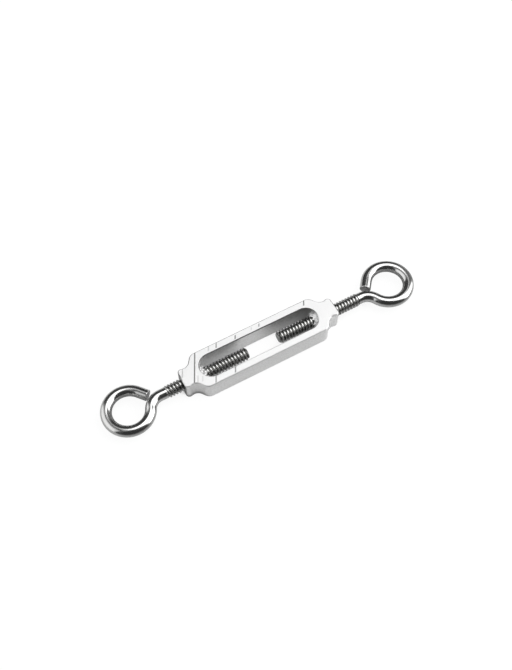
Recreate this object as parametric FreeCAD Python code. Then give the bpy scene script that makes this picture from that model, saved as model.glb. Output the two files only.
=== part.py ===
import FreeCAD, Part
import math
import os

# Eye and eye turnbuckle, in millimetres. X runs along the two screws, Y across the body's two rails, Z up.
# The origin is the centre of the body's underside, so the part lies on its wide face.

# Body: a flat aluminium bar, slotted through, necked down to a boss at each end and bored along its length
BODY_LENGTH = 72.4
BODY_WIDTH = 17.1
BODY_THICKNESS = 9.5
SLOT_LENGTH = 55.0
SLOT_WIDTH = 10.4
SHOULDER_RADIUS = 3.4
SHOULDER_ANGLE = 55.0
WAIST_WIDTH = 8.4
WAIST_RADIUS = 3.5
FLARE_ANGLE = 19.0
BOSS_CORNER_RADIUS = 1.5
EDGE_BREAK = 0.35
BORE_MOUTH_CHAMFER = 0.4

# Eye bolts: round steel wire, rolled to a screw at one end and bent to an open ring at the other
WIRE_DIAMETER = 4.76
RING_RADIUS = 9.1
NECK_BEND_RADIUS = 6.5
RING_END_ANGLE = 39.0
RING_TAIL_LENGTH = 4.3
TIP_TO_RING_CENTRE = 54.7

# Rolled screw: its crests stand proud of the plain wire, run freely in the bore and die out over one pitch
THREAD_DIAMETER = 5.5
THREAD_PITCH = 1.41
TIP_CHAMFER = 0.7
THREAD_CLEARANCE = 0.05

# Each eye bolt as it lies here: its ring's centre, along and beside the screw's axis, and its thread's length
RIGHT_HAND_RING_X = -60.5
RIGHT_HAND_RING_Y = 0.0
RIGHT_HAND_THREAD_LENGTH = 37.8
LEFT_HAND_RING_X = 63.5
LEFT_HAND_RING_Y = 0.4
LEFT_HAND_THREAD_LENGTH = 39.4

# A cut runs past the face it leaves by this much, and an edge flatter than FLAT lies in a wide face
CUT_OVERRUN = 1.0
FLAT = 1e-6

AXIS_HEIGHT = BODY_THICKNESS / 2
WIRE_RADIUS = WIRE_DIAMETER / 2
CREST_RADIUS = THREAD_DIAMETER / 2
BORE_RADIUS = CREST_RADIUS + THREAD_CLEARANCE

X_AXIS = FreeCAD.Vector(1, 0, 0)
Y_AXIS = FreeCAD.Vector(0, 1, 0)
Z_AXIS = FreeCAD.Vector(0, 0, 1)
ORIGIN = FreeCAD.Vector(0, 0, 0)


def heading(angle):
    """Unit vector in the XY plane, at an angle in degrees from +X."""
    return FreeCAD.Vector(math.cos(math.radians(angle)), math.sin(math.radians(angle)), 0)


def draw_path(start, start_angle, steps):
    """Tangent lines and arcs. A step is a length and None, or a radius and its turn, left positive."""
    point = start
    angle = start_angle
    edges = []
    for size, turn in steps:
        if turn is None:
            after = point + heading(angle) * size
            edges.append(Part.makeLine(point, after))
        else:
            side = math.copysign(90, turn)
            centre = point + heading(angle + side) * size
            middle = centre - heading(angle + side + turn / 2) * size
            after = centre - heading(angle + side + turn) * size
            edges.append(Part.Arc(point, middle, after).toShape())
            angle += turn
        point = after
    return edges


def body_outline():
    """Plan of the body: rails, round shoulders, hollow waists and flared bosses with round corners."""
    shoulder = math.radians(SHOULDER_ANGLE)
    flare = math.radians(FLARE_ANGLE)
    bends = SHOULDER_RADIUS + WAIST_RADIUS
    drop = (BODY_WIDTH - WAIST_WIDTH) / 2 - bends * (1 - math.cos(shoulder))
    slope = drop / math.sin(shoulder)
    shoulder_run = bends * math.sin(shoulder) + slope * math.cos(shoulder)
    boss_bends = WAIST_RADIUS + BOSS_CORNER_RADIUS
    boss_run = boss_bends * math.sin(flare) + BOSS_CORNER_RADIUS
    boss_rise = boss_bends * (1 - math.cos(flare)) - BOSS_CORNER_RADIUS
    steps = [
        (BODY_LENGTH / 2 - shoulder_run - boss_run, None),
        (SHOULDER_RADIUS, -SHOULDER_ANGLE),
        (slope, None),
        (WAIST_RADIUS, SHOULDER_ANGLE + FLARE_ANGLE),
        (BOSS_CORNER_RADIUS, -90 - FLARE_ANGLE),
        (WAIST_WIDTH / 2 + boss_rise, None),
    ]
    quarter = draw_path(FreeCAD.Vector(0, BODY_WIDTH / 2, 0), 0, steps)
    half = quarter + [edge.mirror(ORIGIN, Y_AXIS) for edge in quarter]
    return Part.Wire(Part.__sortEdges__(half + [edge.mirror(ORIGIN, X_AXIS) for edge in half]))


def slot_outline():
    """Plan of the slot: two straight walls with half-round ends."""
    straight = SLOT_LENGTH - SLOT_WIDTH
    start = FreeCAD.Vector(-straight / 2, -SLOT_WIDTH / 2, 0)
    side = [(straight, None), (SLOT_WIDTH / 2, 180)]
    return Part.Wire(draw_path(start, 0, side + side))


def bore_cutter(end):
    """The screw's bore through one end of the body, opened out at its mouth; end is 1 or -1 along X."""
    outward = X_AXIS * end
    face = outward * (BODY_LENGTH / 2) + Z_AXIS * AXIS_HEIGHT
    bore_start = outward * ((SLOT_LENGTH - SLOT_WIDTH) / 2) + Z_AXIS * AXIS_HEIGHT
    bore = Part.makeCylinder(BORE_RADIUS, (face - bore_start).Length + CUT_OVERRUN, bore_start, outward)
    mouth_start = face - outward * BORE_MOUTH_CHAMFER
    mouth_length = BORE_MOUTH_CHAMFER + CUT_OVERRUN
    mouth = Part.makeCone(BORE_RADIUS, BORE_RADIUS + mouth_length, mouth_length, mouth_start, outward)
    return bore.fuse(mouth)


def turnbuckle_body():
    """The one-piece body, with both wide faces' edges broken all round."""
    blank = Part.Face(body_outline()).extrude(Z_AXIS * BODY_THICKNESS)
    slot = Part.Face(slot_outline()).extrude(Z_AXIS * BODY_THICKNESS)
    slotted = blank.cut(slot)
    rims = [edge for edge in slotted.Edges if edge.BoundBox.ZLength < FLAT]
    slotted = slotted.makeChamfer(EDGE_BREAK, rims)
    return slotted.cut(bore_cutter(1)).cut(bore_cutter(-1))


def turned(profile):
    """Solid of revolution about Z from (radius, height) points, closed along the axis."""
    points = [FreeCAD.Vector(radius, 0, height) for radius, height in profile]
    return Part.Face(Part.makePolygon(points + points[:1])).revolve(ORIGIN, Z_AXIS, 360)


def screw(thread_length):
    """The screw at its crest diameter, from its chamfered tip at the origin up +Z to the plain wire."""
    return turned([
        (0, 0),
        (CREST_RADIUS - TIP_CHAMFER, 0),
        (CREST_RADIUS, TIP_CHAMFER),
        (CREST_RADIUS, thread_length - THREAD_PITCH),
        (WIRE_RADIUS, thread_length),
        (0, thread_length),
    ])


def plain_wire(start_x, ring_y):
    """The wire from the screw's end on the X axis, through the neck bend to -Y and round the open ring.

    The neck bend and the ring touch on the line between their centres, so the wire runs smoothly from one
    into the other. The ring's centre is at X = 0 and Y = ring_y. Its bend ends RING_END_ANGLE short of the
    screw's side. The last of the wire, which the bending pin doesn't reach, runs straight on to its cut end
    beside the neck.
    """
    fall = NECK_BEND_RADIUS + ring_y
    neck_x = math.sqrt((RING_RADIUS + NECK_BEND_RADIUS) ** 2 - fall ** 2)
    neck_angle = math.degrees(math.atan2(fall, neck_x))
    route = draw_path(FreeCAD.Vector(start_x, 0, 0), 180, [
        (start_x - neck_x, None),
        (NECK_BEND_RADIUS, 90 - neck_angle),
        (RING_RADIUS, neck_angle + RING_END_ANGLE - 360),
        (RING_TAIL_LENGTH, None),
    ])
    section = Part.Wire(Part.makeCircle(WIRE_RADIUS, FreeCAD.Vector(start_x, 0, 0), X_AXIS))
    return Part.Wire(route).makePipeShell([section], True, False)


def eye_bolt(thread_length, ring_y):
    """An eye bolt in the XY plane: its screw is on the X axis, out to +X, and its ring's centre at X = 0."""
    shank = screw(thread_length)
    shank.rotate(ORIGIN, Y_AXIS, -90)
    shank.translate(X_AXIS * TIP_TO_RING_CENTRE)
    return shank.fuse(plain_wire(TIP_TO_RING_CENTRE - thread_length, ring_y)).removeSplitter()


def right_hand_eye_bolt():
    """The eye bolt at the -X end."""
    bolt = eye_bolt(RIGHT_HAND_THREAD_LENGTH, RIGHT_HAND_RING_Y)
    bolt.translate(FreeCAD.Vector(RIGHT_HAND_RING_X, 0, AXIS_HEIGHT))
    return bolt


def left_hand_eye_bolt():
    """The eye bolt at the +X end: the other one's mirror image, which makes its thread left-hand."""
    bolt = eye_bolt(LEFT_HAND_THREAD_LENGTH, LEFT_HAND_RING_Y).mirror(ORIGIN, X_AXIS)
    bolt.translate(FreeCAD.Vector(LEFT_HAND_RING_X, 0, AXIS_HEIGHT))
    return bolt


PIECES = {
    "turnbuckle_body": turnbuckle_body,
    "eye_bolt_right_hand": right_hand_eye_bolt,
    "eye_bolt_left_hand": left_hand_eye_bolt,
}

os.makedirs("parts", exist_ok=True)
for name, make in PIECES.items():
    shape = make()
    assert shape.isValid() and len(shape.Solids) == 1, name
    shape.Solids[0].exportStep(f"parts/{name}.step")
    print(name, round(shape.Volume, 1), "mm3")
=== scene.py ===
"""Looks of an eye and eye turnbuckle: a slotted aluminium body and a bright steel eye bolt in each end.

Sizes are in millimetres and become metres where a mesh or a lamp is made. X runs along the screws, Y across
the body's rails and Z up, with the origin at the centre of the body's underside.
"""

import logging
import math
from dataclasses import dataclass
from enum import Enum
from typing import Any, Union

import bpy
import numpy as np
from mathutils import Matrix, Vector


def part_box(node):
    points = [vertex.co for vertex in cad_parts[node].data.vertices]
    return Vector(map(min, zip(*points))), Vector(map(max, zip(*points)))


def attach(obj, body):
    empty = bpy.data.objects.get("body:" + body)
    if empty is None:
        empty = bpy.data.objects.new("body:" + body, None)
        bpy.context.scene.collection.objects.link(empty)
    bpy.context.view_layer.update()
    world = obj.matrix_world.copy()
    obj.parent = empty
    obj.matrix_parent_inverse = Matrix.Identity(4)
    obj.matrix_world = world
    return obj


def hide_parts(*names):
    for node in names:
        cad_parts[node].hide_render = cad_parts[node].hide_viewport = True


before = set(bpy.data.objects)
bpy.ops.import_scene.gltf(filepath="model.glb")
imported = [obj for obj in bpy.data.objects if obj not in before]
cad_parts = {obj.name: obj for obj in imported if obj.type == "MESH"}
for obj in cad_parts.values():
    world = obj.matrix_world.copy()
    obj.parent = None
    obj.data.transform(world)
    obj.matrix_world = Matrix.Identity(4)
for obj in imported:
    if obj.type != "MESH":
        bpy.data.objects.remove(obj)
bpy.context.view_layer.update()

LOG = logging.getLogger("turnbuckle")
MM = 0.001
TURN = 2 * math.pi

BLACK = (0.0, 0.0, 0.0, 1.0)

# The top of the wire's section, in turns from its side, and the depth under which a facet counts as none
TOP_TURN = 0.25
NO_DEPTH = 1e-6

Number = Union[int, float]
Setting = dict[str, Any]
Colour = tuple[float, float, float]

# Where a ramp is 0 and where it is 1, or two shares or sizes of the same thing
Span = tuple[float, float]


# Shared helpers

def scaled(colour: Colour, share: float, limit: float = 1.0) -> Colour:
    """The colour times a share, with no part of it over a limit."""
    red, green, blue = (min(part * share, limit) for part in colour)
    return red, green, blue


def add_object(name: str, data: bpy.types.ID) -> bpy.types.Object:
    """Links a new object for a mesh, lamp or camera into the scene."""
    made = bpy.data.objects.new(name, data)
    bpy.context.scene.collection.objects.link(made)
    return made


def new_mesh(name: str, points: np.ndarray, faces: list[list[int]]) -> bpy.types.Mesh:
    """A mesh from an array of places in mm, with X, Y and Z along its last axis, and from faces."""
    mesh = bpy.data.meshes.new(name)
    mesh.from_pydata((points.reshape(-1, 3) * MM).tolist(), [], faces)
    return mesh


def smooth(mesh: bpy.types.Mesh, sharp_angle: float) -> None:
    """Shades a mesh smooth, apart from edges that its faces meet at with more than an angle in degrees."""
    mesh.polygons.foreach_set("use_smooth", np.ones(len(mesh.polygons), bool))
    mesh.set_sharp_from_angle(angle=math.radians(sharp_angle))
    mesh.update()


def tube_faces(rows: int, columns: int, closed: bool) -> np.ndarray:
    """Faces of a grid whose columns close round.

    Args:
        rows: Number of rows.
        columns: Number of columns.
        closed: Whether the last row joins the first as well.

    Returns:
        The four corners of each face, as places in the grid counted row by row.
    """
    here = np.arange(columns)
    beyond = (here + 1) % columns
    row = np.arange(rows if closed else rows - 1)[:, None]
    start, after = row * columns, (row + 1) % rows * columns
    return np.stack([start + here, start + beyond, after + beyond, after + here], 2).reshape(-1, 4)


# Shader expressions

class Signal:
    """The value at a node's output. Arithmetic on it adds Math nodes to the same tree."""

    def __init__(self, tree: "Shader", socket: bpy.types.NodeSocket) -> None:
        """Keeps the tree to add nodes to, and the socket that carries the value."""
        self.tree = tree
        self.socket = socket

    def _math(self, operation: str, *values: Any) -> "Signal":
        """One Math node fed with the values in order."""
        return self.tree.node("ShaderNodeMath", {"operation": operation}, dict(enumerate(values)))

    def __add__(self, other: Any) -> "Signal":
        """self + other."""
        return self._math("ADD", self, other)

    __radd__ = __add__

    def __sub__(self, other: Any) -> "Signal":
        """self - other."""
        return self._math("SUBTRACT", self, other)

    def __rsub__(self, other: Any) -> "Signal":
        """other - self."""
        return self._math("SUBTRACT", other, self)

    def __mul__(self, other: Any) -> "Signal":
        """self * other."""
        return self._math("MULTIPLY", self, other)

    __rmul__ = __mul__

    def __abs__(self) -> "Signal":
        """Size without sign."""
        return self._math("ABSOLUTE", self)

    def cosine(self) -> "Signal":
        """Cosine of the value in radians."""
        return self._math("COSINE", self)

    def sine(self) -> "Signal":
        """Sine of the value in radians."""
        return self._math("SINE", self)

    def most(self, other: Any) -> "Signal":
        """The larger of the two."""
        return self._math("MAXIMUM", self, other)

    def ramp(self, low: Number, high: Number) -> "Signal":
        """Smooth step.

        Args:
            low: The value at which it is 0.
            high: The value at which it is 1. It may be under low, and then the step falls.

        Returns:
            The step, from 0 to 1.
        """
        start, end, out = (low, high, (0.0, 1.0)) if low < high else (high, low, (1.0, 0.0))
        values = {0: self, 1: start, 2: end, 3: out[0], 4: out[1]}
        return self.tree.node("ShaderNodeMapRange", {"interpolation_type": "SMOOTHSTEP"}, values)


class Shader:
    """Adds nodes to one material's or world's node tree."""

    def __init__(self, owner: Union[bpy.types.Material, bpy.types.World]) -> None:
        """Empties the owner's tree.

        Args:
            owner: The material or world to write.
        """
        owner.use_nodes = True
        self.tree = owner.node_tree
        self.tree.nodes.clear()

    def raw(self, kind: str, settings: Setting, inputs: dict[Any, Any]) -> bpy.types.Node:
        """Adds a node.

        Args:
            kind: The node's type.
            settings: Properties set before its sockets.
            inputs: Values or signals by socket name or number.

        Returns:
            The node.
        """
        made = self.tree.nodes.new(kind)
        for name, value in settings.items():
            setattr(made, name, value)
        for key, value in inputs.items():
            if isinstance(value, Signal):
                self.tree.links.new(value.socket, made.inputs[key])
            else:
                made.inputs[key].default_value = value
        return made

    def node(self, kind: str, settings: Setting, inputs: dict[Any, Any], out: Union[int, str] = 0) -> Signal:
        """Adds a node and gives one of its outputs as a signal."""
        return Signal(self, self.raw(kind, settings, inputs).outputs[out])

    def object_axes(self) -> tuple[Signal, Signal, Signal]:
        """The shaded point's X, Y and Z in millimetres, in the part's own frame."""
        place = self.node("ShaderNodeTexCoord", {}, {}, "Object")
        grown = self.node("ShaderNodeVectorMath", {"operation": "SCALE"}, {0: place, "Scale": 1 / MM})
        parts = self.raw("ShaderNodeSeparateXYZ", {}, {0: grown})
        x, y, z = (Signal(self, socket) for socket in parts.outputs)
        return x, y, z

    def vector(self, x: Any, y: Any, z: Any) -> Signal:
        """A vector from three values."""
        return self.node("ShaderNodeCombineXYZ", {}, {0: x, 1: y, 2: z})

    def noise(self, place: Signal, scale: float, detail: float = 2.0, roughness: float = 0.5) -> Signal:
        """Noise from 0 to 1 at a place."""
        values = {"Vector": place, "Scale": scale, "Detail": detail, "Roughness": roughness}
        return self.node("ShaderNodeTexNoise", {"noise_dimensions": "3D"}, values, "Fac")

    def mix(self, factor: Any, low: Colour, high: Colour) -> Signal:
        """A colour between two, low where the factor is 0 and high where it is 1."""
        return self.blend(factor, (*low, 1.0), (*high, 1.0))

    def blend(self, factor: Any, low: Any, high: Any) -> Signal:
        """A colour between two signals or four-part colours."""
        settings = {"data_type": "RGBA", "blend_type": "MIX"}
        return self.node("ShaderNodeMix", settings, {"Factor": factor, 6: low, 7: high}, 2)

    def bump(self, height: Signal, depth_mm: float) -> Signal:
        """A normal from a height of 0 to 1 that stands for a depth in millimetres."""
        return self.node("ShaderNodeBump", {}, {"Strength": 1.0, "Distance": depth_mm * MM, "Height": height})

    def rays(self) -> tuple[Signal, Signal, Signal]:
        """1 for each kind of ray that shows the background: from the camera, by a mirror, through glass."""
        path = self.raw("ShaderNodeLightPath", {}, {})
        kinds = ("Is Camera Ray", "Is Glossy Ray", "Is Transmission Ray")
        camera, glossy, through = (Signal(self, path.outputs[kind]) for kind in kinds)
        return camera, glossy, through

    def surface(self, shader: Signal) -> None:
        """Ends the tree of a material in this shader."""
        self.raw("ShaderNodeOutputMaterial", {}, {"Surface": shader})


# Finishes

@dataclass(frozen=True)
class ToolMark:
    """A thin straight scratch across the body's wide face.

    Attributes:
        place: Its distance from the origin, square to the marks' common direction.
        low: Where it starts along Y.
        high: Where it ends along Y.
        strength: How dark it is, from 0 to 1.
    """

    place: float
    low: float
    high: float
    strength: float


TOOL_MARKS = (
    ToolMark(-31.8, 0.4, 4.3, 0.45),
    ToolMark(-26.8, -4.6, 8.6, 1.00),
    ToolMark(-25.4, -5.0, -1.4, 0.25),
    ToolMark(-23.4, -5.2, -2.6, 0.22),
    ToolMark(-21.2, 6.3, 8.5, 0.35),
    ToolMark(-18.0, 5.9, 8.5, 0.70),
    ToolMark(-18.0, -8.3, -4.9, 0.70),
    ToolMark(-10.1, 5.8, 7.8, 0.90),
    ToolMark(-10.1, -8.0, -4.2, 0.85),
    ToolMark(-3.3, 6.4, 7.9, 0.25),
    ToolMark(-0.1, 6.2, 7.9, 0.65),
    ToolMark(19.1, 6.0, 8.8, 0.90),
)


@dataclass(frozen=True)
class SatinAluminium:
    """Pale aluminium: bright sawn wide faces with thin tool marks, and greyer walls with upright lines.

    Painted shade darkens the slot's wall towards +X, the waist's low edge and the sawn ends, and draws the
    broken edges as outlines.

    Attributes:
        face_colour, wall_colour: Of the wide faces and of the walls.
        near_edge_painted_shade, far_edge_painted_shade: Painted shade that draws the broken edges as
        outlines, light at -Y and dark at +Y.
        mark_colour: Of the tool marks.
        face_range, wall_range: Lowest and highest share of the colour.
        face_limit: The brightest that a face gets.
        wall_mix: Shares of the drawn lines, the clouds and the mottling in the walls' tone.
        saw_share: Share of the saw's lines in the faces' tone. The clouds give the rest.
        saw_lines, drawn_lines: Waves a mm across and along the lines.
        mottle_band: The noise at which the mottling is darkest and brightest.
        face_roughness, wall_roughness, roughness_spread: The last is how much the clouds change them.
        face_metallic: Of the wide faces and the broken edges. The walls are wholly metallic.
        edge_break, edge_blur: Reach of the broken edges from a face, and half the width of their soft limit.
        edge_change: Where in Y the edges have the near painted shade and the far one.
        face_skin: Depth under a wide face at which its finish begins and is full.
        slot_painted_shade: Painted shade on the slot's wall, darker towards its +X end, from 0 to 1.
            slot_shade_along, slot_shade_end, slot_shade_side: Where in X and Y that painted shade begins and
            is full.
        slot_shade_mottle: How far the painted shade takes the mottling down.
        end_painted_shade, end_skin: How dark the painted shade on the sawn ends is, and at what depth that
            begins and is full.
        waist_painted_shade: How dark the painted shade is along the low edge of the waist at -X and -Y, where
            it meets the floor.
            waist_up, waist_along, waist_side: Where in Z, X and Y that painted shade begins and is full.
        mark_lean: Direction of the tool marks and the saw's lines, in degrees from +Y towards +X.
        mark_band: Distance from a tool mark's line at which it begins and is full.
        mark_tip: Length over which each end of it fades.
        relief_depth: Of the whole relief.
        line_relief, mottle_relief, mark_relief: Shares of the lines, the mottling and the marks in it.
    """

    face_colour: Colour = (0.945, 0.945, 0.945)
    wall_colour: Colour = (0.930, 0.930, 0.926)
    near_edge_painted_shade: Colour = (0.800, 0.800, 0.800)
    far_edge_painted_shade: Colour = (0.120, 0.120, 0.120)
    mark_colour: Colour = (0.200, 0.200, 0.200)
    face_range: Span = (0.96, 1.03)
    face_limit: float = 0.94
    wall_range: Span = (0.90, 1.15)
    wall_mix: tuple[float, float, float] = (0.2, 0.2, 0.6)
    saw_share: float = 0.6
    saw_lines: Span = (6.0, 0.25)
    drawn_lines: Span = (5.0, 0.12)
    mottle_band: Span = (0.34, 0.66)
    face_roughness: float = 0.50
    wall_roughness: float = 0.40
    roughness_spread: float = 0.06
    face_metallic: float = 0.62
    edge_break: float = 0.35
    edge_blur: float = 0.03
    edge_change: Span = (-2.0, 2.0)
    face_skin: Span = (0.04, 0.01)
    slot_painted_shade: float = 0.30
    slot_shade_along: Span = (2.0, 26.0)
    slot_shade_end: Span = (28.5, 28.0)
    slot_shade_side: Span = (5.6, 5.3)
    slot_shade_mottle: float = 2.0
    end_painted_shade: float = 0.70
    end_skin: Span = (0.30, 0.05)
    waist_painted_shade: float = 0.60
    waist_up: Span = (3.4, 0.2)
    waist_along: Span = (-27.5, -30.0)
    waist_side: Span = (-1.5, -3.5)
    mark_lean: float = 27.6
    mark_band: Span = (0.40, 0.10)
    mark_tip: float = 0.4
    relief_depth: float = 0.02
    line_relief: float = 0.4
    mottle_relief: float = 0.5
    mark_relief: float = 4.0

    def marks(self, across: Signal, y: Signal) -> Signal:
        """How strongly a point is marked: the sum of the tool marks, each a band that fades at its ends.

        Args:
            across: The point's distance from the origin, square to the marks.
            y: Its place along Y.

        Returns:
            The strength, from 0 to 1.
        """
        total: Any = 0.0
        for mark in TOOL_MARKS:
            line = abs(across - mark.place).ramp(*self.mark_band)
            reach = y.ramp(mark.low, mark.low + self.mark_tip) * y.ramp(mark.high, mark.high - self.mark_tip)
            total = line * reach * mark.strength + total
        return total

    def make(self, length: float, thickness: float) -> bpy.types.Material:
        """Writes the material.

        Args:
            length: The body's length in mm, whose two ends are the sawn ends.
            thickness: The body's thickness in mm, whose two ends are the wide faces.

        Returns:
            The material.
        """
        material = bpy.data.materials.new("satin_aluminium")
        shader = Shader(material)
        x, y, z = shader.object_axes()
        half = thickness / 2
        from_middle = abs(z - half)
        face = from_middle.ramp(half - self.face_skin[0], half - self.face_skin[1])
        limit = half - self.edge_break
        edge = from_middle.ramp(limit - self.edge_blur, limit + self.edge_blur) - face

        lean = math.radians(self.mark_lean)
        across = x * math.cos(lean) - y * math.sin(lean)
        along = x * math.sin(lean) + y * math.cos(lean)
        saw = shader.vector(across * self.saw_lines[0], along * self.saw_lines[1], 0.0)
        sawn = shader.noise(saw, scale=1.0, detail=3.0, roughness=0.65)
        draw = shader.vector(x * self.drawn_lines[0], y * self.drawn_lines[0], z * self.drawn_lines[1])
        drawn = shader.noise(draw, scale=1.0, detail=2.0, roughness=0.6)
        spot = shader.vector(x, y, z)
        cloud = shader.noise(spot, scale=0.35, detail=2.0)
        mottle = shader.noise(spot, scale=1.3, detail=2.0, roughness=0.6).ramp(*self.mottle_band)
        marked = self.marks(across, y) * face

        # Painted shade: the slot's wall darkens towards its +X end, where shade falls.
        slot_shade = x.ramp(*self.slot_shade_along) * abs(x).ramp(*self.slot_shade_end) * abs(y).ramp(*self.slot_shade_side)
        slot_shade = slot_shade * self.slot_painted_shade
        # Painted shade: the waist's wall darkens along its low edge at -X and -Y, as a contact shadow.
        waist = z.ramp(*self.waist_up) * x.ramp(*self.waist_along) * y.ramp(*self.waist_side)
        waist = waist * self.waist_painted_shade
        # Painted shade: the sawn end faces are blended towards black.
        end = abs(x).ramp(length / 2 - self.end_skin[0], length / 2 - self.end_skin[1]) * self.end_painted_shade
        lines, clouds, mottles = self.wall_mix
        tone = drawn * lines + cloud * clouds + mottle * mottles - slot_shade * self.slot_shade_mottle
        wall = shader.mix(tone, *(scaled(self.wall_colour, share) for share in self.wall_range))
        wall = shader.blend(slot_shade.most(waist).most(end), wall, BLACK)
        tone = sawn * self.saw_share + cloud * (1 - self.saw_share)
        bright = (scaled(self.face_colour, share, self.face_limit) for share in self.face_range)
        flat = shader.mix(tone, *bright)
        colour = shader.blend(face, wall, flat)
        # Painted shade: the broken edges are drawn as outlines, lighter at -Y and much darker at +Y.
        edge_painted_shade = shader.mix(y.ramp(*self.edge_change), self.near_edge_painted_shade, self.far_edge_painted_shade)
        colour = shader.blend(edge, colour, edge_painted_shade)
        colour = shader.blend(marked, colour, (*self.mark_colour, 1.0))

        wall_grain = drawn * self.line_relief + mottle * self.mottle_relief
        grain = sawn * face * self.line_relief + wall_grain * (1 - face)
        relief = shader.bump(grain - marked * self.mark_relief, self.relief_depth)
        rough = face * (self.face_roughness - self.wall_roughness) + self.wall_roughness
        rough = rough + (cloud - 0.5) * self.roughness_spread
        metallic = face.most(edge) * (self.face_metallic - 1.0) + 1.0
        shader.surface(shader.node("ShaderNodeBsdfPrincipled", {}, {
            "Base Color": colour, "Metallic": metallic, "Roughness": rough, "Normal": relief,
        }))
        return material


@dataclass(frozen=True)
class BareAluminium:
    """Freshly torn aluminium on a tapped edge: bright, with a fine broken grain.

    Attributes:
        colour: Where the grain is bright.
        dull_colour: Where it is dull.
        roughness: Its middle value.
        roughness_spread: How much the grain changes it.
        metallic: How metallic it is.
        grain_depth: Depth of the grain.
        dull_below: The grain's noise at which it is dull.
        bright_above: The noise at which it is bright.
    """

    colour: Colour = (0.95, 0.95, 0.95)
    dull_colour: Colour = (0.30, 0.30, 0.30)
    roughness: float = 0.28
    roughness_spread: float = 0.20
    metallic: float = 0.20
    grain_depth: float = 0.10
    dull_below: float = 0.38
    bright_above: float = 0.52

    def make(self, name: str) -> bpy.types.Material:
        """Writes the material.

        Args:
            name: The material's name.

        Returns:
            The material.
        """
        material = bpy.data.materials.new(name)
        shader = Shader(material)
        grain = shader.noise(shader.vector(*shader.object_axes()), scale=1.3, detail=3.0, roughness=0.6)
        tone = grain.ramp(self.dull_below, self.bright_above)
        shader.surface(shader.node("ShaderNodeBsdfPrincipled", {}, {
            "Base Color": shader.mix(tone, self.dull_colour, self.colour),
            "Metallic": self.metallic,
            "Roughness": (grain - 0.5) * self.roughness_spread + self.roughness,
            "Normal": shader.bump(grain, self.grain_depth),
        }))
        return material


@dataclass(frozen=True)
class BrightSteel:
    """Polished steel wire: fine lines along it, painted shade over the thread, deepest in its grooves, dull
    on the cut ends.

    Attributes:
        colour: Of the wire.
        groove_painted_shade: Painted shade at the bottom of the thread's grooves.
        cut_colour: Of the cut ends' flats.
        facet_colour: Of the facets that the cutter left.
        tone_range: Lowest and highest share of the wire's colour.
        line_share: Share of the lines in the wire's tone, to which the clouds give the rest.
        lines_along: Waves of the lines a mm along the wire.
        lines_around: How far round the noise the lines go in a turn. More makes them finer.
        groove_full: The groove attribute at which the painted shade is full.
        facet_band: The cut_end attribute at which the wire ends and a facet begins.
        flat_band: The cut_end attribute at which a facet ends and a flat begins.
        roughness: Of the wire.
        groove_roughness: What a groove adds to it.
        facet_roughness: Of the facets.
        cut_roughness: Of the flats.
        roughness_spread: How much the clouds change the roughness.
        facet_metallic: Of the facets. The rest is wholly metallic.
        line_depth: Depth of the lines.
        speck_relief: How many times as deep the specks on the flats are.
    """

    colour: Colour = (0.560, 0.560, 0.555)
    groove_painted_shade: Colour = (0.270, 0.270, 0.260)
    cut_colour: Colour = (0.400, 0.400, 0.400)
    facet_colour: Colour = (0.850, 0.850, 0.850)
    tone_range: Span = (0.86, 1.14)
    line_share: float = 0.7
    lines_along: float = 0.22
    lines_around: float = 12.0
    groove_full: float = 0.95
    facet_band: Span = (0.1, 0.4)
    flat_band: Span = (0.6, 0.9)
    roughness: float = 0.16
    groove_roughness: float = 0.12
    facet_roughness: float = 0.30
    cut_roughness: float = 0.42
    roughness_spread: float = 0.06
    facet_metallic: float = 0.45
    line_depth: float = 0.006
    speck_relief: float = 4.0

    def make(self) -> bpy.types.Material:
        """Writes the material. It reads the piece's wire_uv map and its groove and cut_end attributes.

        Returns:
            The material.
        """
        material = bpy.data.materials.new("bright_steel")
        shader = Shader(material)
        wire = shader.raw("ShaderNodeSeparateXYZ", {}, {
            0: shader.node("ShaderNodeUVMap", {"uv_map": EyeBolt.UV_MAP}, {}),
        })
        along, around = Signal(shader, wire.outputs[0]), Signal(shader, wire.outputs[1]) * TURN
        groove = shader.node("ShaderNodeAttribute", {"attribute_name": EyeBolt.GROOVE}, {}, "Fac")
        shear = shader.node("ShaderNodeAttribute", {"attribute_name": EyeBolt.CUT}, {}, "Fac")
        facet, cut = shear.ramp(*self.facet_band), shear.ramp(*self.flat_band)

        ring = around.cosine() * self.lines_around, around.sine() * self.lines_around
        line = shader.vector(along * self.lines_along, *ring)
        lines = shader.noise(line, scale=1.0, detail=2.0, roughness=0.6)
        spot = shader.vector(*shader.object_axes())
        cloud = shader.noise(spot, scale=0.5, detail=2.0)
        speck = shader.noise(spot, scale=4.0, detail=1.0)
        tone = lines * self.line_share + cloud * (1 - self.line_share)
        colour = shader.mix(tone, *(scaled(self.colour, share) for share in self.tone_range))
        # Painted shade: the thread is darkened by the groove attribute, a little on its crests and fully in
        # its roots.
        colour = shader.blend(groove.ramp(0.0, self.groove_full), colour, (*self.groove_painted_shade, 1.0))
        colour = shader.blend(facet, colour, (*self.facet_colour, 1.0))
        colour = shader.blend(cut, colour, (*self.cut_colour, 1.0))
        rough = facet * (self.facet_roughness - self.roughness) + self.roughness
        rough = cut * (self.cut_roughness - self.facet_roughness) + rough
        rough = rough + groove * self.groove_roughness + (cloud - 0.5) * self.roughness_spread
        relief = shader.bump(lines * (1 - cut) + speck * cut * self.speck_relief, self.line_depth)
        metallic = facet * (1 - cut) * (self.facet_metallic - 1.0) + 1.0
        shader.surface(shader.node("ShaderNodeBsdfPrincipled", {}, {
            "Base Color": colour, "Metallic": metallic, "Roughness": rough, "Normal": relief,
        }))
        return material


# Eye bolts

class Hand(Enum):
    """Which way a screw's thread turns: 1 for the pattern of both bolts, -1 for its mirror image."""

    RIGHT = 1
    LEFT = -1


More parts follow.
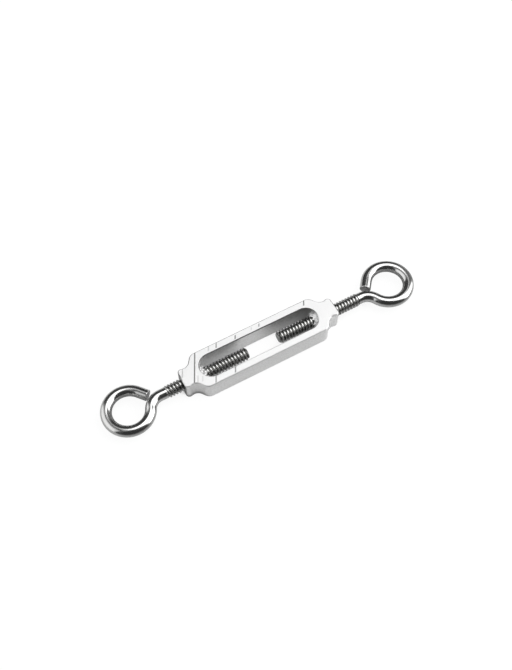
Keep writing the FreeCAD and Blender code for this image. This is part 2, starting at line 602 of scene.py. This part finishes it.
@dataclass(frozen=True)
class Thread:
    """A rolled 60-degree screw thread with flat crests and roots.

    Attributes:
        crest_radius: Outer radius.
        root_radius: Radius at the bottom of the groove.
        pitch: Distance from one turn to the next.
        crest_flat: Width of the flat on a crest.
        flank: Width of one slope along the axis.
        tip_chamfer: How far the first turns are cut back at the tip, at 45 degrees.
        roundings: How often each depth is averaged with its neighbours.
    """

    crest_radius: float
    root_radius: float = 2.06
    pitch: float = 1.41
    crest_flat: float = 0.48
    flank: float = 0.39
    tip_chamfer: float = 0.7
    roundings: int = 4

    def depth(self, phase: np.ndarray) -> np.ndarray:
        """Depth below the crest as a share of the thread's height, for a place along one pitch from 0 to 1.

        It is 0 on the crest's flat, rises in a straight line down the flank and is 1 across the root. Each
        value is then averaged with its neighbours four times, which rounds the corners as rolling does.
        """
        from_crest = np.minimum(phase, 1 - phase) * self.pitch
        share = np.clip((from_crest - self.crest_flat / 2) / self.flank, 0, 1)
        for _ in range(self.roundings):
            share = (np.roll(share, 1) + 2 * share + np.roll(share, -1)) / 4
        return share


@dataclass(frozen=True)
class WireRoute:
    """The centre line of an eye bolt's wire: screw, neck bend, open ring and straight tail.

    It lies in the XY plane, with the screw on the X axis, tip outward at +X, and the ring's centre at X = 0.

    Attributes:
        tip_to_ring: From the screw's tip to the ring's centre along X.
        ring_offset: The ring's centre in Y.
        ring_radius: Radius of the ring's centre line.
        neck_bend_radius: Radius of the bend from the screw's axis into the ring.
        end_angle: How far short of the screw's side the ring's bend ends, in degrees.
        tail: Straight length after the ring's bend.
    """

    tip_to_ring: float
    ring_offset: float
    ring_radius: float = 9.1
    neck_bend_radius: float = 6.5
    end_angle: float = 39.0
    tail: float = 4.3

    def corners(self) -> tuple[np.ndarray, np.ndarray]:
        """Lengths along the wire at which its curvature changes, and the heading at each in radians.

        The neck bend's circle and the ring's circle touch, so the neck bend turns through a quarter turn less
        the angle of the line between their centres, and the ring turns back the rest of the way.
        """
        fall = self.neck_bend_radius + self.ring_offset
        neck_x = math.sqrt((self.ring_radius + self.neck_bend_radius) ** 2 - fall ** 2)
        neck = math.atan2(fall, neck_x)
        ring_turn = TURN - neck - math.radians(self.end_angle)
        neck_turn = TURN / 4 - neck
        bends = self.neck_bend_radius * neck_turn, self.ring_radius * ring_turn
        lengths = (self.tip_to_ring - neck_x, *bends, self.tail)
        turns = (0.0, neck_turn, -ring_turn, 0.0)
        return np.cumsum((0.0, *lengths)), math.pi + np.cumsum((0.0, *turns))

    def follow(self, stations: np.ndarray) -> tuple[np.ndarray, np.ndarray]:
        """Points and headings at lengths along the wire.

        The heading is linear between corners. Each step adds its chord, which is the step times the sine of
        half its turn over half its turn, along the mean heading.

        Args:
            stations: Lengths in rising order that include the corners.

        Returns:
            Points as rows of X and Y, and headings in radians.
        """
        heading = np.interp(stations, *self.corners())
        mean = (heading[1:] + heading[:-1]) / 2
        chord = np.diff(stations) * np.sinc(np.diff(heading) / TURN)
        steps = np.stack([np.cos(mean), np.sin(mean)], 1) * chord[:, None]
        return np.concatenate([[[self.tip_to_ring, 0.0]], steps]).cumsum(0), heading


@dataclass(frozen=True)
class Skin:
    """The grid of an eye bolt's surface.

    Attributes:
        points: Places in mm, by row, column and axis.
        stations: Length along the wire of each row.
        turns: Angle round the wire of each point, in turns.
        groove: Share of painted shade at each point: some on the thread's crests, rising to 1 at its roots,
            none elsewhere.
        cut: For each face, 0 on the wire, 0.5 on the cut end's facets and 1 on the flats of both ends.
    """

    points: np.ndarray
    stations: np.ndarray
    turns: np.ndarray
    groove: np.ndarray
    cut: np.ndarray


@dataclass
class EyeBolt:
    """One eye bolt: a single wire, threaded at one end and bent to an open ring at the other.

    Attributes:
        name: The piece's name.
        node: The CAD node it stands for.
        body: The CAD body it rides on.
        hand: Right-hand for the bolt at -X, left-hand for its mirror image at +X.
        thread_length: Length of the screw.
        wire_radius: Radius of the plain wire.
        columns, rows_a_pitch: Columns round the wire, and rows in each pitch of the screw.
        chamfer_rows: Lengths of the rows on the tip's chamfer.
        wire_step, bend_step: Distance between rows on the plain wire, and on the bends and the tail.
        end_length: Length of the tail that the facets shorten.
        sharp_angle: Angle between faces over which their edge is sharp, in degrees.
        run_out: Length over which the thread dies out, as a share of the pitch.
        crest_groove: The groove attribute on a crest, which gives the crest some painted shade. At a root it
            is 1.
        rim, rim_steps: Radius of the cut end's rounded rim, and its rows' places as shares of it.
        facet_slope, facet_lean, facet_gap: Slope, lean and gap of the cut end's facets, as facet() says.
        fold_limit: The largest share of the radius at which a column crosses a facet's fold.
        tip_rings, end_rings: Sizes of the rings on the tip's flat and on the cut end, as shares.
    """

    name: str
    node: str
    body: str
    hand: Hand
    thread_length: float
    wire_radius: float = 2.38
    columns: int = 48
    rows_a_pitch: int = 28
    chamfer_rows: tuple[float, ...] = (0.0, 0.08, 0.35, 0.65)
    wire_step: float = 0.5
    bend_step: float = 0.3
    end_length: float = 1.9
    sharp_angle: float = 25.0
    run_out: float = 0.45
    crest_groove: float = 0.35
    rim: float = 0.10
    rim_steps: tuple[float, ...] = (1.0, 0.617, 0.293, 0.076, 0.0)
    facet_slope: float = 0.75
    facet_lean: float = 1.5
    facet_gap: float = 0.5
    fold_limit: float = 0.97
    tip_rings: tuple[float, ...] = (0.3, 0.6, 0.85)
    end_rings: tuple[float, ...] = (1.0, 0.8, 0.6, 0.4, 0.2)

    UV_MAP = "wire_uv"
    GROOVE = "groove"
    CUT = "cut_end"

    def __post_init__(self) -> None:
        """Takes the bolt's place from the box of its CAD node."""
        low, high = (np.array(corner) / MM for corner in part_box(self.node))
        side = self.hand.value
        self.height = (low[2] + high[2]) / 2
        tip_x = high[0] if side > 0 else low[0]
        eye_x = low[0] if side > 0 else high[0]
        route = WireRoute(0.0, (low[1] + high[1]) / 2)
        self.ring_x = eye_x + side * (route.ring_radius + self.wire_radius)
        self.route = WireRoute(side * (tip_x - self.ring_x), route.ring_offset)
        self.thread = Thread((high[2] - low[2]) / 2)

    def stations(self) -> np.ndarray:
        """Lengths along the wire: close rows on the screw and the rim, wider ones between them."""
        corner, _ = self.route.corners()
        rows = round(self.thread_length / self.thread.pitch * self.rows_a_pitch)
        screw = np.linspace(self.thread.tip_chamfer, self.thread_length, rows)
        shank = np.arange(self.thread_length + self.wire_step, corner[1], self.wire_step)
        bends = np.arange(corner[1] + self.bend_step, corner[4] - 2 * self.rim, self.bend_step)
        end = corner[4] - self.rim * np.array(self.rim_steps)
        return np.unique(np.concatenate([self.chamfer_rows, screw, shank, corner[1:4], bends, end]).round(6))

    def radii(self, stations: np.ndarray, share: np.ndarray) -> np.ndarray:
        """Radius for each row and column.

        On the screw it is the thread's, held inside a 45-degree cone at the tip. Over the thread's run-out it
        passes smoothly to the plain wire's, and at the cut end it is rounded off by a small quarter circle.

        Args:
            stations: Lengths along the wire, one for each row.
            share: The thread's depth share, one for each column.

        Returns:
            An array of rows by columns.
        """
        thread = self.thread
        screw = thread.crest_radius - share[None, :] * (thread.crest_radius - thread.root_radius)
        cone = thread.crest_radius - thread.tip_chamfer + stations[:, None]
        plain = np.clip((stations[:, None] - self.thread_length) / (thread.pitch * self.run_out) + 1, 0, 1)
        plain = plain ** 2 * (3 - 2 * plain)
        radius = np.minimum(screw, cone) * (1 - plain) + self.wire_radius * plain
        past = np.clip((stations - stations[-1]) / self.rim + 1, 0, 1)
        return radius - self.rim * (1 - np.sqrt(1 - past ** 2))[:, None]

    def facet(self, across: np.ndarray, up: np.ndarray) -> np.ndarray:
        """How far back from the cut end's plane the two facets lie that the cutter left on it.

        Each facet is a plane that starts beside the top of the cut face and deepens to one side. The depth is
        a slope times a reach: the distance to the side, less half the gap between the facets, less a lean
        times the depth below the top. It is never under 0.
        """
        top = self.wire_radius - self.rim
        reach = np.abs(across) - self.facet_gap + self.facet_lean * (up - top)
        return self.facet_slope * np.maximum(reach, 0)

    def fold(self, angle: np.ndarray) -> np.ndarray:
        """Share of the radius at which each column crosses the fold between a facet and the cut end's flat.

        It is the lean plus the gap's share of the radius, over the size of the angle's cosine plus the lean
        times its sine. It is no more than a limit just inside the rim, which holds where the column crosses
        no facet.
        """
        start = self.facet_lean + self.facet_gap / (self.wire_radius - self.rim)
        reach = np.abs(np.cos(angle)) + self.facet_lean * np.sin(angle)
        return start / np.maximum(reach, start / self.fold_limit)

    def surface(self) -> Skin:
        """The wire's skin as a grid, with the faces of both ends as rings that shrink to the middle.

        Each row is a section square to the wire. Each column keeps to one place on the thread, so that it
        winds round the wire once a pitch, and the thread's crest and groove run true along the columns. Over
        the plain wire the columns turn by up to half a step, which brings one of them to the top of the cut
        end. Over the last of the tail each column shortens by the depth of the facet that it ends on.
        """
        stations = self.stations()
        centre, heading = self.route.follow(stations)
        phase = np.arange(self.columns) / self.columns
        share = self.thread.depth(phase)
        radius = self.radii(stations, share)
        length = stations[-1]
        wound = np.minimum(stations, self.thread_length) / self.thread.pitch
        from_top = wound[-1] - TOP_TURN
        tail = length - self.end_length
        plain = np.clip((stations - self.thread_length) / (tail - self.thread_length), 0, 1)
        wound = wound + plain * (round(from_top * self.columns) / self.columns - from_top)
        angle = TURN * (phase[None, :] + wound[:, None])
        fade = np.clip((self.thread_length - stations) / (self.thread.pitch * self.run_out), 0, 1)
        # Share of painted shade on the thread: some on the crests, full at the roots, fading out with the
        # thread.
        groove = (self.crest_groove + (1 - self.crest_groove) * share[None, :]) * fade[:, None]

        tip = np.array(self.tip_rings)[:, None] * np.ones(self.columns)
        end = np.array(self.end_rings)[:, None] * self.fold(angle[-1])
        shrink = np.concatenate([tip, np.ones_like(angle), end])
        rows = np.arange(len(stations))
        row = np.concatenate([np.zeros(len(tip), int), rows, np.full(len(end), rows[-1])])
        across = shrink * (radius * np.cos(angle))[row]
        up = shrink * (radius * np.sin(angle))[row]
        rim_radius = self.wire_radius - self.rim
        on_rim = self.facet(rim_radius * np.cos(angle), rim_radius * np.sin(angle))[row]
        past = np.clip((stations - length + self.end_length) / (self.end_length - self.rim), 0, 1)
        back = past[row, None] * np.where(shrink < 1, self.facet(across, up), on_rim)
        cosine, sine = np.cos(heading)[row, None], np.sin(heading)[row, None]
        x = centre[row, :1] - across * sine - back * cosine
        y = centre[row, 1:] + across * cosine - back * sine

        walls = len(tip) + len(stations) - 1
        cut = np.zeros((len(row) - 1, self.columns))
        cut[:len(tip)] = 1.0
        cut[walls:] = 1.0
        cut[walls] = np.where(np.maximum(on_rim[-1], np.roll(on_rim[-1], -1)) > NO_DEPTH, 0.5, 1.0)
        cut = np.append(cut.ravel(), np.ones(2 * self.columns))
        groove = np.where(shrink < 1, 0.0, groove[row])
        return Skin(np.stack([x, y, up], 2), stations[row], (angle / TURN)[row], groove, cut)

    def build(self) -> bpy.types.Object:
        """Makes the closed mesh: the skin's grid, and a fan round the middle of each end.

        Returns:
            The object, riding on its body and standing for its CAD node.
        """
        skin = self.surface()
        rows, columns = skin.points.shape[:2]
        middles = skin.points[[0, -1]].mean(1)
        side = self.hand.value
        points = np.concatenate([skin.points.reshape(-1, 3), middles]) * (side, 1, 1)

        here = np.arange(columns)
        beyond = (here + 1) % columns
        last = (rows - 1) * columns
        tip = np.stack([np.full(columns, rows * columns), beyond, here], 1)
        tail = np.stack([np.full(columns, rows * columns + 1), last + here, last + beyond], 1)
        faces = tube_faces(rows, columns, closed=False).tolist() + tip.tolist() + tail.tolist()
        if side < 0:
            faces = [face[::-1] for face in faces]
        mesh = new_mesh(self.name, points + (self.ring_x, 0, self.height), faces)
        self.mark(mesh, skin)
        smooth(mesh, self.sharp_angle)
        piece = add_object(self.name, mesh)
        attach(piece, self.body)
        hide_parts(self.node)
        return piece

    def mark(self, mesh: bpy.types.Mesh, skin: Skin) -> None:
        """Writes the UV map (length along the wire, turns round it) and the groove and cut-end attributes.

        The turns of each face are brought within half a turn of its first corner's, so that no face spans the
        place where a turn begins.
        """
        groove = np.append(skin.groove.ravel(), [0.0, 0.0]).astype(np.float32)
        mesh.attributes.new(self.GROOVE, "FLOAT", "POINT").data.foreach_set("value", groove)
        mesh.attributes.new(self.CUT, "FLOAT", "FACE").data.foreach_set("value", skin.cut.astype(np.float32))
        columns = skin.turns.shape[1]
        length = np.append(np.repeat(skin.stations, columns), skin.stations[[0, -1]])
        around = np.append(skin.turns.ravel(), skin.turns[[0, -1], 0])
        corners = np.empty(len(mesh.loops), np.int32)
        mesh.loops.foreach_get("vertex_index", corners)
        totals = np.empty(len(mesh.polygons), np.int32)
        mesh.polygons.foreach_get("loop_total", totals)
        first = np.repeat(around[corners[np.cumsum(totals) - totals]], totals)
        past = around[corners] - first
        uv = np.stack([length[corners], first + past - np.round(past)], 1)
        mesh.uv_layers.new(name=self.UV_MAP).data.foreach_set("uv", uv.astype(np.float32).ravel())


# Body

@dataclass
class TurnbuckleBody:
    """The slotted aluminium body, whose CAD node is shown as it is with a material of its own."""

    node: str = "turnbuckle_body"

    def dress(self, finish: SatinAluminium) -> bpy.types.Object:
        """Puts the finish in each of the node's material slots."""
        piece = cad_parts[self.node]
        low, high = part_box(self.node)
        material = finish.make((high.x - low.x) / MM, (high.z - low.z) / MM)
        piece.data.materials.clear()
        piece.data.materials.append(material)
        return piece


@dataclass
class BoreBurr:
    """The ragged collar of torn metal that tapping left round a bore where it opens into the slot.

    Attributes:
        name: The piece's name.
        end: 1 for the end at +X, -1 for the end at -X.
        body: The CAD body it rides on.
        node: The CAD node it stands on.
        slot_length: Length of the slot.
        slot_radius: Radius of the slot's round ends.
        inner: Radius of the collar's inside, just clear of the thread.
        outer: Radius of its foot on the wall.
        rise: How far it stands off the wall on average.
        sink: How far its foot reaches into the wall.
        ragged: How much its height varies, as a share of the rise.
        highest: Where round the bore it stands highest, in degrees from +Y towards +Z.
        least: The least share of the rise, at the side across from the highest.
        lean: What the highest side adds to that share, halved.
        lip: Height of the collar's foot over the wall.
        inner_height: Height of the inner edge, as a share of the crest's.
        spread: Shares of the collar's width: at the crest, and what the way down adds.
        crumple: Size of the dents in its slope.
        small_lumps: Share of the smaller lumps in its height.
        rows: Number of rows from the crest down to the foot.
        columns: Number of columns round the bore.
        sharp_angle: Angle between faces over which their edge is sharp, in degrees.
        finish: Its material.
    """

    name: str
    end: int
    highest: float
    body: str = "body"
    node: str = "turnbuckle_body"
    slot_length: float = 55.0
    slot_radius: float = 5.2
    inner: float = 2.84
    outer: float = 3.6
    rise: float = 1.25
    sink: float = 0.15
    ragged: float = 0.35
    least: float = 0.20
    lean: float = 0.68
    lip: float = 0.05
    inner_height: float = 0.8
    spread: Span = (0.30, 0.70)
    crumple: float = 0.10
    small_lumps: float = 0.6
    rows: int = 10
    columns: int = 160
    sharp_angle: float = 35.0
    finish: BareAluminium = BareAluminium()

    def build(self) -> bpy.types.Object:
        """Makes the ring: a closed section, carried round the bore and standing on the slot's round end.

        The wall's distance along X from the slot's middle, at a place Y across, is the round end's centre
        plus the root of its radius squared less Y squared. Each point of the section lies its own height off
        that wall. The section has two rows at the inner radius, rows from the crest down whose radius grows
        with the cube of the way down, and a foot at the outer radius. Heights and radii vary with products of
        sines of the angle round the bore, which makes torn lumps.

        Returns:
            The object, riding on its body.
        """
        turn = np.arange(self.columns) * TURN / self.columns
        lumps = np.sin(3 * turn + 1.3) * np.sin(8 * turn + self.end)
        lumps = lumps + self.small_lumps * np.sin(13 * turn) * np.sin(5 * turn + 2)
        down = np.linspace(0, 1, self.rows)[:, None]
        torn = np.sin(9 * turn + 7 * down + 1.3) * np.sin(4 * turn - 11 * down + self.end)
        radius = self.inner + (self.outer - self.inner) * (self.spread[0] + self.spread[1] * down ** 3)
        radius = radius + self.crumple * (1 + torn)
        inside = np.full((2, self.columns), self.inner)
        radius = np.concatenate([inside, radius, np.full((1, self.columns), self.outer)])
        leaning = self.least + self.lean * (1 + np.cos(turn - math.radians(self.highest)))
        height = self.rise * leaning * (1 + self.ragged * lumps) * (1 - down) + self.lip
        foot = np.full((1, self.columns), -self.sink)
        height = np.concatenate([foot, height[:1] * self.inner_height, height, foot])
        y = radius * np.cos(turn)
        z = radius * np.sin(turn)
        wall = self.slot_length / 2 - self.slot_radius + np.sqrt(self.slot_radius ** 2 - y ** 2)
        low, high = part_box(self.node)
        points = np.stack([self.end * (wall - height), y, z + (low.z + high.z) / 2 / MM], 2)
        faces = tube_faces(len(height), self.columns, closed=True)
        if self.end > 0:
            faces = faces[:, ::-1]
        mesh = new_mesh(self.name, points, faces.tolist())
        smooth(mesh, self.sharp_angle)
        piece = add_object(self.name, mesh)
        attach(piece, self.body)
        return piece


# Studio

@dataclass(frozen=True)
class Panel:
    """An arched patch of a sphere round the part, outside the picture and seen only in the metal.

    Attributes:
        name: The panel's name.
        turn: Middle of the arch, in degrees round from the direction behind the part, positive to the right.
        half_turn: Half its width at its foot, in degrees.
        low: Elevation of its foot, in degrees.
        high: Elevation of its crown, in degrees.
        soft: Width of its soft edge, as a share of its size.
        tone: Its brightness, where 1 is white.
        inner: Where it begins, as a share of its size. Over 0.5 it is a band, soft on its inner edge too.
    """

    name: str
    turn: float
    half_turn: float
    low: float
    high: float
    soft: float
    tone: float
    inner: float = 0.02


PANELS = (
    Panel("panel_rim_line", -85.0, 72.0, -2.0, 77.0, 0.05, 0.10, 0.84),
    Panel("panel_camera_dark", 168.0, 59.0, -2.0, 84.0, 0.12, 0.05),
    Panel("panel_far_dark", -16.0, 46.0, -2.0, 70.0, 0.20, 0.06),
    Panel("panel_far_grey", 39.0, 24.0, -2.0, 75.0, 0.30, 0.20),
    Panel("panel_left_light", -96.0, 40.0, -2.0, 58.0, 0.20, 1.40),
    Panel("panel_top_grey", -128.0, 95.0, 55.0, 89.0, 0.20, 0.50),
)


@dataclass(frozen=True)
class Softbox:
    """A lamp aimed at the part: an upright rectangle, or round where its sides are the same.

    Attributes:
        name: The lamp's name.
        turn: Direction in degrees round from behind the part, positive to the right.
        elevation: Height above the horizon, in degrees.
        distance: From the part.
        width: Level side.
        height: Other side.
        brightness: What a white mirror shows of a rectangle, where 1 is white. A disk shows 4 / pi of it.
    """

    name: str
    turn: float
    elevation: float
    distance: float
    width: float
    height: float
    brightness: float


SOFTBOXES = (
    Softbox("softbox_right", 79.5, 36.0, 1700.0, 1980.0, 2500.0, 1.56),
    Softbox("softbox_overhead", 35.0, 75.0, 1500.0, 960.0, 960.0, 1.42),
)


@dataclass
class Studio:
    """Floor, softboxes, panels, world and the camera at the photograph's viewing angle.

    Angles are in degrees and the clip distances in m. A glow is a brightness, an albedo a share of real light
    thrown back, and a mirrored one is what the metal shows. Names that end in band or along, and
    ring_shadow_patch, say where a pattern, such as a painted shadow or painted shade, begins and is full, and
    a share how strong it is. The first panel is panel_radius from the part and each further one panel_gap
    more, with panel_rows rows and twice as many columns.
    """

    view_turn: float = 27.79
    view_elevation: float = 60.5
    view_roll: float = -1.146
    view_distance: float = 404.8
    aim: tuple[float, float, float] = (1.5, 5.8, 4.75)
    focal_length: float = 51.58
    clip: Span = (0.02, 20.0)
    floor_half_width: float = 3000.0
    floor_gap: float = 0.05
    floor_glow: float = 0.925
    mirrored_glow: float = 0.08
    floor_albedo: float = 0.105
    mirrored_albedo: float = 0.66
    # Painted shade: the floor's glow darkens in narrow gaps beside the part, by ambient occlusion.
    gap_reach: float = 8.0
    gap_shade_band: Span = (0.08, 0.36)
    gap_samples: int = 12
    # Painted shadow in the mirrored floor: dimming towards the camera, a patch beside the part and one inside
    # each ring.
    painted_shadow_along: Span = (-2.0, -40.0)
    painted_shadow_share: float = 0.85
    shadow_patch_place: Span = (97.0, 9.0)
    shadow_patch_size: Span = (24.0, 13.0)
    shadow_patch_band: Span = (1.4, 0.5)
    ring_shadow_patch: Span = (13.0, 7.0)
    ring_shadow_share: float = 0.7
    fill: float = 0.50
    panel_radius: float = 1400.0
    panel_gap: float = 10.0
    panel_rows: int = 24
    arch_power: float = 0.6

    def direction(self, turn: float, elevation: float) -> Vector:
        """Unit vector from the part, for a turn from behind the part and an elevation, both in degrees."""
        level = math.radians(self.view_turn + turn)
        rise = math.radians(elevation)
        return Vector((math.sin(level) * math.cos(rise), math.cos(level) * math.cos(rise), math.sin(rise)))

    def camera(self) -> None:
        """Puts the camera where the photograph was taken from, rolled a little, and makes it the scene's."""
        data = bpy.data.cameras.new("camera")
        data.lens = self.focal_length
        data.clip_start, data.clip_end = self.clip
        camera = add_object("camera", data)
        back = self.direction(180.0, self.view_elevation)
        roll = Matrix.Rotation(math.radians(self.view_roll), 3, "Z")
        turned = (-back).to_track_quat("-Z", "Y").to_matrix() @ roll
        place = (Vector(self.aim) + back * self.view_distance) * MM
        camera.matrix_world = Matrix.Translation(place) @ turned.to_4x4()
        bpy.context.scene.camera = camera

    def world(self) -> None:
        """A white world where it is seen directly, and a plain fill for the rest."""
        world = bpy.data.worlds.new("world")
        bpy.context.scene.world = world
        shader = Shader(world)
        camera, glossy, through = shader.rays()
        strength = camera.most(glossy).most(through) * (1.0 - self.fill) + self.fill
        light = shader.node("ShaderNodeBackground", {}, {"Color": (1.0, 1.0, 1.0, 1.0), "Strength": strength})
        shader.raw("ShaderNodeOutputWorld", {}, {"Surface": light})

    def floor(self) -> None:
        """White paper: a glow plus a share of real light, which keeps the shadow and is larger in the metal.

        What the metal mirrors of it carries painted shadow: it is dimmer towards the camera, in one patch
        beside the part and inside the rings.
        """
        half = self.floor_half_width
        corners = np.array([(-half, -half), (half, -half), (half, half), (-half, half)])
        points = np.column_stack([corners, np.full(4, -self.floor_gap)])
        mesh = new_mesh("floor", points, [[0, 1, 2, 3]])
        material = bpy.data.materials.new("floor_paper")
        shader = Shader(material)
        camera, glossy, through = shader.rays()
        # Painted shade in the floor's glow where narrow gaps beside the part close it in.
        settings = {"samples": self.gap_samples}
        opening = shader.node("ShaderNodeAmbientOcclusion", settings, {"Distance": self.gap_reach * MM}, "AO")
        glow = camera.most(through) * self.floor_glow * opening.ramp(*self.gap_shade_band)
        strength = glow.most(glossy * self.mirrored_glow)
        glow = shader.node("ShaderNodeEmission", {}, {"Strength": strength})
        # Painted shadow in what the metal mirrors of the floor: a patch beside the part, a patch inside each
        # ring, and dimming towards the camera.
        x, y, _ = shader.object_axes()
        across = (x - self.shadow_patch_place[0]) * (1 / self.shadow_patch_size[0])
        deep = (y - self.shadow_patch_place[1]) * (1 / self.shadow_patch_size[1])
        dark = (across * across + deep * deep).ramp(*self.shadow_patch_band)
        for bolt in EYE_BOLTS:
            off_x, off_y = x - bolt.ring_x, y - bolt.route.ring_offset
            patch = (off_x * off_x + off_y * off_y).ramp(*(reach ** 2 for reach in self.ring_shadow_patch))
            dark = dark.most(patch * self.ring_shadow_share)
        dim = y.ramp(*self.painted_shadow_along).most(dark) * -self.painted_shadow_share + 1.0
        albedo = glossy * (dim * self.mirrored_albedo - self.floor_albedo) + self.floor_albedo
        paper = shader.node("ShaderNodeBsdfDiffuse", {}, {"Color": albedo})
        shader.surface(shader.node("ShaderNodeAddShader", {}, {0: glow, 1: paper}))
        mesh.materials.append(material)
        floor = add_object("floor", mesh)

    def panel(self, panel: Panel, radius: float) -> None:
        """Makes one panel on a sphere of its own.

        The grid's rows are arches of growing size. For a place t from 0 to half a turn along the arch and a
        size v, the turn from the middle is minus half the width times v times the cosine of t, and the height
        over the foot is the arch's height times v times the sine of t. Cosine and sine are each taken to a
        power under 1, which squares the arch's shoulders.
        """
        count = self.panel_rows
        t, v = np.meshgrid(np.linspace(0, math.pi, 2 * count), np.linspace(panel.inner, 1, count))
        across = np.sign(np.cos(t)) * np.abs(np.cos(t)) ** self.arch_power
        turn = np.radians(self.view_turn + panel.turn - panel.half_turn * v * across)
        rise = np.radians(panel.low + (panel.high - panel.low) * v * np.abs(np.sin(t)) ** self.arch_power)
        points = np.stack([np.sin(turn) * np.cos(rise), np.cos(turn) * np.cos(rise), np.sin(rise)], 2)
        columns = 2 * count
        start = (np.arange(count - 1)[:, None] * columns + np.arange(columns - 1)).ravel()
        faces = np.stack([start, start + 1, start + columns + 1, start + columns], 1)
        mesh = new_mesh(panel.name, points * radius, faces.tolist())
        uv = np.stack([t, v], 2).reshape(-1, 2)[faces.ravel()]
        mesh.uv_layers.new(name="panel_uv").data.foreach_set("uv", uv.astype(np.float32).ravel())
        mesh.materials.append(self.cloth(panel))
        made = add_object(panel.name, mesh)
        made.visible_camera = made.visible_diffuse = made.visible_shadow = made.visible_transmission = False

    def cloth(self, panel: Panel) -> bpy.types.Material:
        """A panel's cloth, which thins out to nothing at its soft edge."""
        material = bpy.data.materials.new(panel.name)
        shader = Shader(material)
        parts = shader.raw("ShaderNodeSeparateXYZ", {}, {
            0: shader.node("ShaderNodeUVMap", {"uv_map": "panel_uv"}, {}),
        })
        size = Signal(shader, parts.outputs[1])
        cover = size.ramp(1.0, 1.0 - panel.soft)
        if panel.inner > 0.5:
            cover = cover * size.ramp(panel.inner, panel.inner + panel.soft)
        cloth = shader.node("ShaderNodeEmission", {}, {"Strength": panel.tone})
        clear = shader.node("ShaderNodeBsdfTransparent", {}, {})
        shader.surface(shader.node("ShaderNodeMixShader", {}, {0: cover, 1: clear, 2: cloth}))
        return material

    def softbox(self, box: Softbox) -> None:
        """Makes one lamp. Its power is its brightness times pi times its width times its height."""
        data = bpy.data.lights.new(box.name, "AREA")
        data.shape = "RECTANGLE" if box.height > box.width else "DISK"
        data.size, data.size_y = box.width * MM, box.height * MM
        data.energy = box.brightness * math.pi * data.size * data.size_y
        lamp = add_object(box.name, data)
        toward = self.direction(box.turn, box.elevation)
        place = Matrix.Translation(toward * box.distance * MM)
        lamp.matrix_world = place @ (-toward).to_track_quat("-Z", "Y").to_matrix().to_4x4()

    def build(self) -> None:
        """Makes the whole studio."""
        self.camera()
        self.world()
        self.floor()
        for number, panel in enumerate(PANELS):
            self.panel(panel, self.panel_radius + self.panel_gap * number)
        for box in SOFTBOXES:
            self.softbox(box)
        bpy.context.scene.view_settings.view_transform = "Standard"


EYE_BOLTS = (
    EyeBolt("right_hand_eye_bolt_wire", "eye_bolt_right_hand", "right_hand_eye_bolt", Hand.RIGHT, 37.8),
    EyeBolt("left_hand_eye_bolt_wire", "eye_bolt_left_hand", "left_hand_eye_bolt", Hand.LEFT, 39.4),
)

BORE_BURRS = (
    BoreBurr("bore_burr_right_hand", -1, 100.0, finish=BareAluminium(dull_below=0.42, bright_above=0.58)),
    BoreBurr("bore_burr_left_hand", 1, 95.0, finish=BareAluminium(dull_below=0.36, bright_above=0.48)),
)


def report(piece: bpy.types.Object) -> None:
    """Logs one piece."""
    LOG.info("%s: %d faces", piece.name, len(piece.data.polygons))


def main() -> None:
    """Builds each sub-assembly and the studio, and reports each piece."""
    logging.basicConfig(level=logging.INFO, format="%(name)s: %(message)s")
    report(TurnbuckleBody().dress(SatinAluminium()))
    for burr in BORE_BURRS:
        piece = burr.build()
        piece.data.materials.append(burr.finish.make(burr.name))
        report(piece)
    steel = BrightSteel().make()
    for bolt in EYE_BOLTS:
        piece = bolt.build()
        piece.data.materials.append(steel)
        report(piece)
    Studio().build()


if __name__ == "__main__":
    main()
